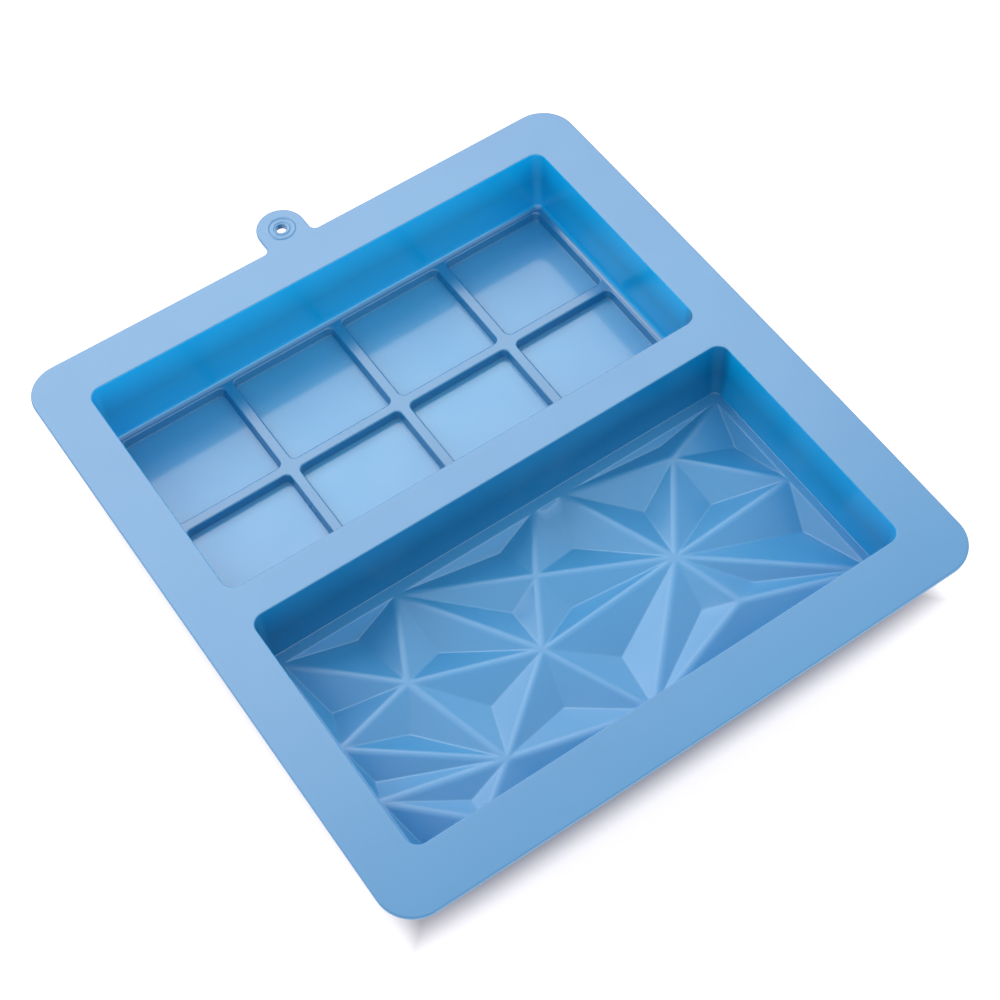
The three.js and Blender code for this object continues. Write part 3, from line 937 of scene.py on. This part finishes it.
def silicone(name, look, wall=None, coat=None):
    """Glossy coloured silicone: slight mottling, a fine skin, soft waves and a few dust specks.

    A wall is a second look and the middle of a cavity. It takes over on steep faces turned
    towards that middle, which are tinted lighter in painted light, as if light came through the
    slim wall, and carry painted shade by height and a darker painted shade near the web.
    """
    material = bpy.data.materials.new(name)
    nodes = Nodes(material, "Object")
    shader = nodes.tree.nodes["Principled BSDF"]
    mottle = nodes.noise(*MOTTLE)
    grain = nodes.noise(*GRAIN)

    def tinted(own):
        return nodes.shades(mottle, list(zip(MOTTLE_RANGE, own[2:])))

    def grained(own):
        return nodes.ramp(grain, 0.0, 1.0, own[0] * GRAIN_RANGE[0], own[0] * GRAIN_RANGE[1])

    colour, roughness, level = tinted(look), grained(look), look[1]
    if wall:
        painted_light_look, middle = wall
        steep, shade, web = wall_masks(nodes, middle)
        # Painted light and shade: lighter walls, a darker web side and shade by height.
        painted_wall_light = nodes.mix("RGBA", web, tinted(painted_light_look), tinted(WEB_PAINTED_SHADE_LOOK))
        painted_wall_light = nodes.mix("RGBA", 1.0, painted_wall_light, shade, "MULTIPLY")
        colour = nodes.mix("RGBA", steep, colour, painted_wall_light)
        roughness = nodes.mix("FLOAT", steep, roughness, grained(painted_light_look))
        level = nodes.ramp(steep, 0.0, 1.0, look[1], painted_light_look[1])
    waves = nodes.bump(nodes.noise(*WAVES), WAVE_HEIGHT, 1.0)
    skin = nodes.bump(nodes.noise(*SKIN), SKIN_HEIGHT, SKIN_STRENGTH)
    nodes.feed(skin.inputs["Normal"], waves.outputs["Normal"])
    nodes.feed_all(shader, {
        "Base Color": dusty(nodes, colour),
        "Roughness": roughness,
        "IOR": SILICONE_IOR,
        "Specular IOR Level": level,
        "Normal": skin.outputs["Normal"],
    })
    if coat:
        nodes.feed_all(shader, {"Coat Weight": 1, "Coat Roughness": coat[0], "Coat IOR": coat[1]})
    return material


def paper():
    """Pale paper with a faint painted glow, left off under the mould as a short painted shadow."""
    material = bpy.data.materials.new("studio_paper")
    nodes = Nodes(material, "Object")
    where = nodes.split(nodes.place)
    gaps = []
    for axis, middle, half in ((0, 0.0, WARP_HALF_X), (1, WARP_MIDDLE_Y, WARP_HALF_Y)):
        away = nodes.math("ABSOLUTE", nodes.math("SUBTRACT", where[axis], middle * MM))
        gaps.append(nodes.math("SUBTRACT", away, half * MM))
    outside = nodes.math("MAXIMUM", *gaps)
    grain = nodes.noise(*PAPER_GRAIN)
    nodes.feed_all(nodes.tree.nodes["Principled BSDF"], {
        "Base Color": nodes.shades(grain, list(zip((0.0, 1.0), PAPER_TINTS))),
        "Roughness": 1,
        "Specular IOR Level": 0,
        "Emission Color": GLOW_TINT,
        "Emission Strength": nodes.smooth(
            outside, GLOW_EDGE[0] * MM, GLOW_EDGE[1] * MM, 0.0, GLOW),
    })
    return material


def middle_of(ring):
    return (ring[0].min(0) + ring[0].max(0)) / 2


# ---------------------------------------------------------------- the mould

rim_silicone = silicone("silicone_rim", RIM_LOOK)
grid_wall_silicone = silicone("silicone_grid_walls", RIM_LOOK,
                              (GRID_WALL_PAINTED_LIGHT_LOOK, middle_of(GRID_OPENING)))
facet_wall_silicone = silicone("silicone_facet_walls", RIM_LOOK,
                               (FACET_WALL_PAINTED_LIGHT_LOOK, middle_of(FACET_OPENING)))
rib_silicone = silicone("silicone_ribs", RIB_LOOK)
facet_silicone = silicone("silicone_facets", FACET_PAINTED_LIGHT_LOOK, coat=FACET_COAT)
cell_silicone = silicone("silicone_cells", CELL_PAINTED_LIGHT_LOOK, coat=CELL_COAT)

pieces = [
    (build_rim(rim_silicone), "rim_flange"),
    (build_tab(rim_silicone), "hanging_tab"),
    (build_wall("silicone_grid_wall", GRID_OPENING, "grid_cavity_ribs",
                GRID_FILLET, grid_wall_silicone), "grid_cavity_wall"),
    (build_wall("silicone_facet_wall", FACET_OPENING, "facet_cavity_floor",
                FACET_FILLET, facet_wall_silicone), "facet_cavity_wall"),
    (build_ribs(rib_silicone), "grid_cavity_ribs"),
    (build_facets(facet_silicone), "facet_cavity_floor"),
]
pieces += [
    (build_cell_floor(i + 1, cell_silicone), "grid_cell_floor_%d" % (i + 1))
    for i in range(CELLS)
]
for piece, node in pieces:
    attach(piece, "root")
    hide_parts(node)

# ---------------------------------------------------------------- studio

# The table, in metres: half its side, and its height, just clear of the pads that stand on it.
TABLE_HALF = 3.0
TABLE_Z = -0.0002

table_mesh = bpy.data.meshes.new("studio_floor")
table_mesh.from_pydata(
    [
        (-TABLE_HALF, -TABLE_HALF, TABLE_Z),
        (TABLE_HALF, -TABLE_HALF, TABLE_Z),
        (TABLE_HALF, TABLE_HALF, TABLE_Z),
        (-TABLE_HALF, TABLE_HALF, TABLE_Z),
    ],
    [],
    [(0, 1, 2, 3)],
)
table_mesh.materials.append(paper())
floor = bpy.data.objects.new("studio_floor", table_mesh)
bpy.context.scene.collection.objects.link(floor)

# A weak soft light in front of the mould, in metres and watts, aimed at the frame's origin.
FILL_PLACE = (0.4, -1.25, 0.65)
FILL_SIZE = (1.0, 0.5)
FILL_POWER = 1.5

fill_data = bpy.data.lights.new("fill_front", "AREA")
fill_data.shape = "RECTANGLE"
fill_data.size, fill_data.size_y = FILL_SIZE
fill_data.energy = FILL_POWER
fill = bpy.data.objects.new("fill_front", fill_data)
fill.location = FILL_PLACE
fill.rotation_euler = (-Vector(FILL_PLACE)).to_track_quat("-Z", "Y").to_euler()
bpy.context.scene.collection.objects.link(fill)

# The tent's strengths, and the directions between which one passes into the next.
SURROUND_LIGHT = 1.28
FRONT_LIGHT = 1.15
FRONT_EDGE = (-0.4, 0.2)
CEILING_LIGHT = 0.84
CEILING_EDGE = (0.45, 0.85)
# The back panel's edges: its near one and its sides are slopes y / z and x / z, its low one is z.
PANEL_LIGHT = 2.02
PANEL_NEAR_EDGE = (0.30, 0.54)
PANEL_LOW_EDGE = (0.3, 0.55)
PANEL_RIGHT_EDGE = (0.85, 0.45)
PANEL_LEFT_EDGE = (-0.9, -0.4)
LEAST_RISE = 0.01


def studio_world():
    """A pale tent: a bright surround, a dimmer ceiling, and a bright soft panel at the back."""
    world = bpy.data.worlds.new("studio")
    nodes = Nodes(world, "Generated")
    x, y, z = nodes.split(nodes.place)
    rise = nodes.math("MAXIMUM", z, LEAST_RISE)
    sideways = nodes.math("DIVIDE", x, rise)
    panel = nodes.smooth(nodes.math("DIVIDE", y, rise), *PANEL_NEAR_EDGE)
    for value, edge in (
        (z, PANEL_LOW_EDGE),
        (sideways, PANEL_RIGHT_EDGE),
        (sideways, PANEL_LEFT_EDGE),
    ):
        panel = nodes.math("MULTIPLY", panel, nodes.smooth(value, *edge))
    over = nodes.smooth(z, *CEILING_EDGE)
    surround = nodes.smooth(y, *FRONT_EDGE, FRONT_LIGHT, SURROUND_LIGHT)
    surround = nodes.math("MULTIPLY", surround, nodes.math("SUBTRACT", 1.0, over))
    tent = nodes.math("ADD", surround, nodes.math("MULTIPLY", over, CEILING_LIGHT))
    strength = nodes.math("ADD", tent, nodes.math("MULTIPLY", panel, PANEL_LIGHT))
    background = nodes.tree.nodes["Background"]
    nodes.feed_all(background, {"Strength": strength, "Color": (1, 1, 1, 1)})
    return world


bpy.context.scene.world = studio_world()
bpy.context.scene.view_settings.view_transform = "Standard"

# ---------------------------------------------------------------- camera

# The camera's place in metres, the directions of its picture's right, down and depth, and its
# lens and sensor in millimetres.
CAMERA_PLACE = (-0.17480, -0.31266, 0.55854)
CAMERA_RIGHT = (0.824946, -0.563474, -0.044282)
CAMERA_DOWN = (-0.494640, -0.681817, -0.538940)
CAMERA_FORWARD = (0.273486, 0.466501, -0.841179)
CAMERA_LENS = 76.956
CAMERA_SENSOR = 36
CAMERA_CLIP = 0.01

lens = bpy.data.cameras.new("camera")
lens.sensor_width = CAMERA_SENSOR
lens.lens = CAMERA_LENS
lens.clip_start = CAMERA_CLIP
camera = bpy.data.objects.new("camera", lens)
axes = (Vector(CAMERA_RIGHT), -Vector(CAMERA_DOWN), -Vector(CAMERA_FORWARD))
camera.matrix_world = Matrix.Translation(CAMERA_PLACE) @ Matrix(axes).transposed().to_4x4()
bpy.context.scene.collection.objects.link(camera)
bpy.context.scene.camera = camera
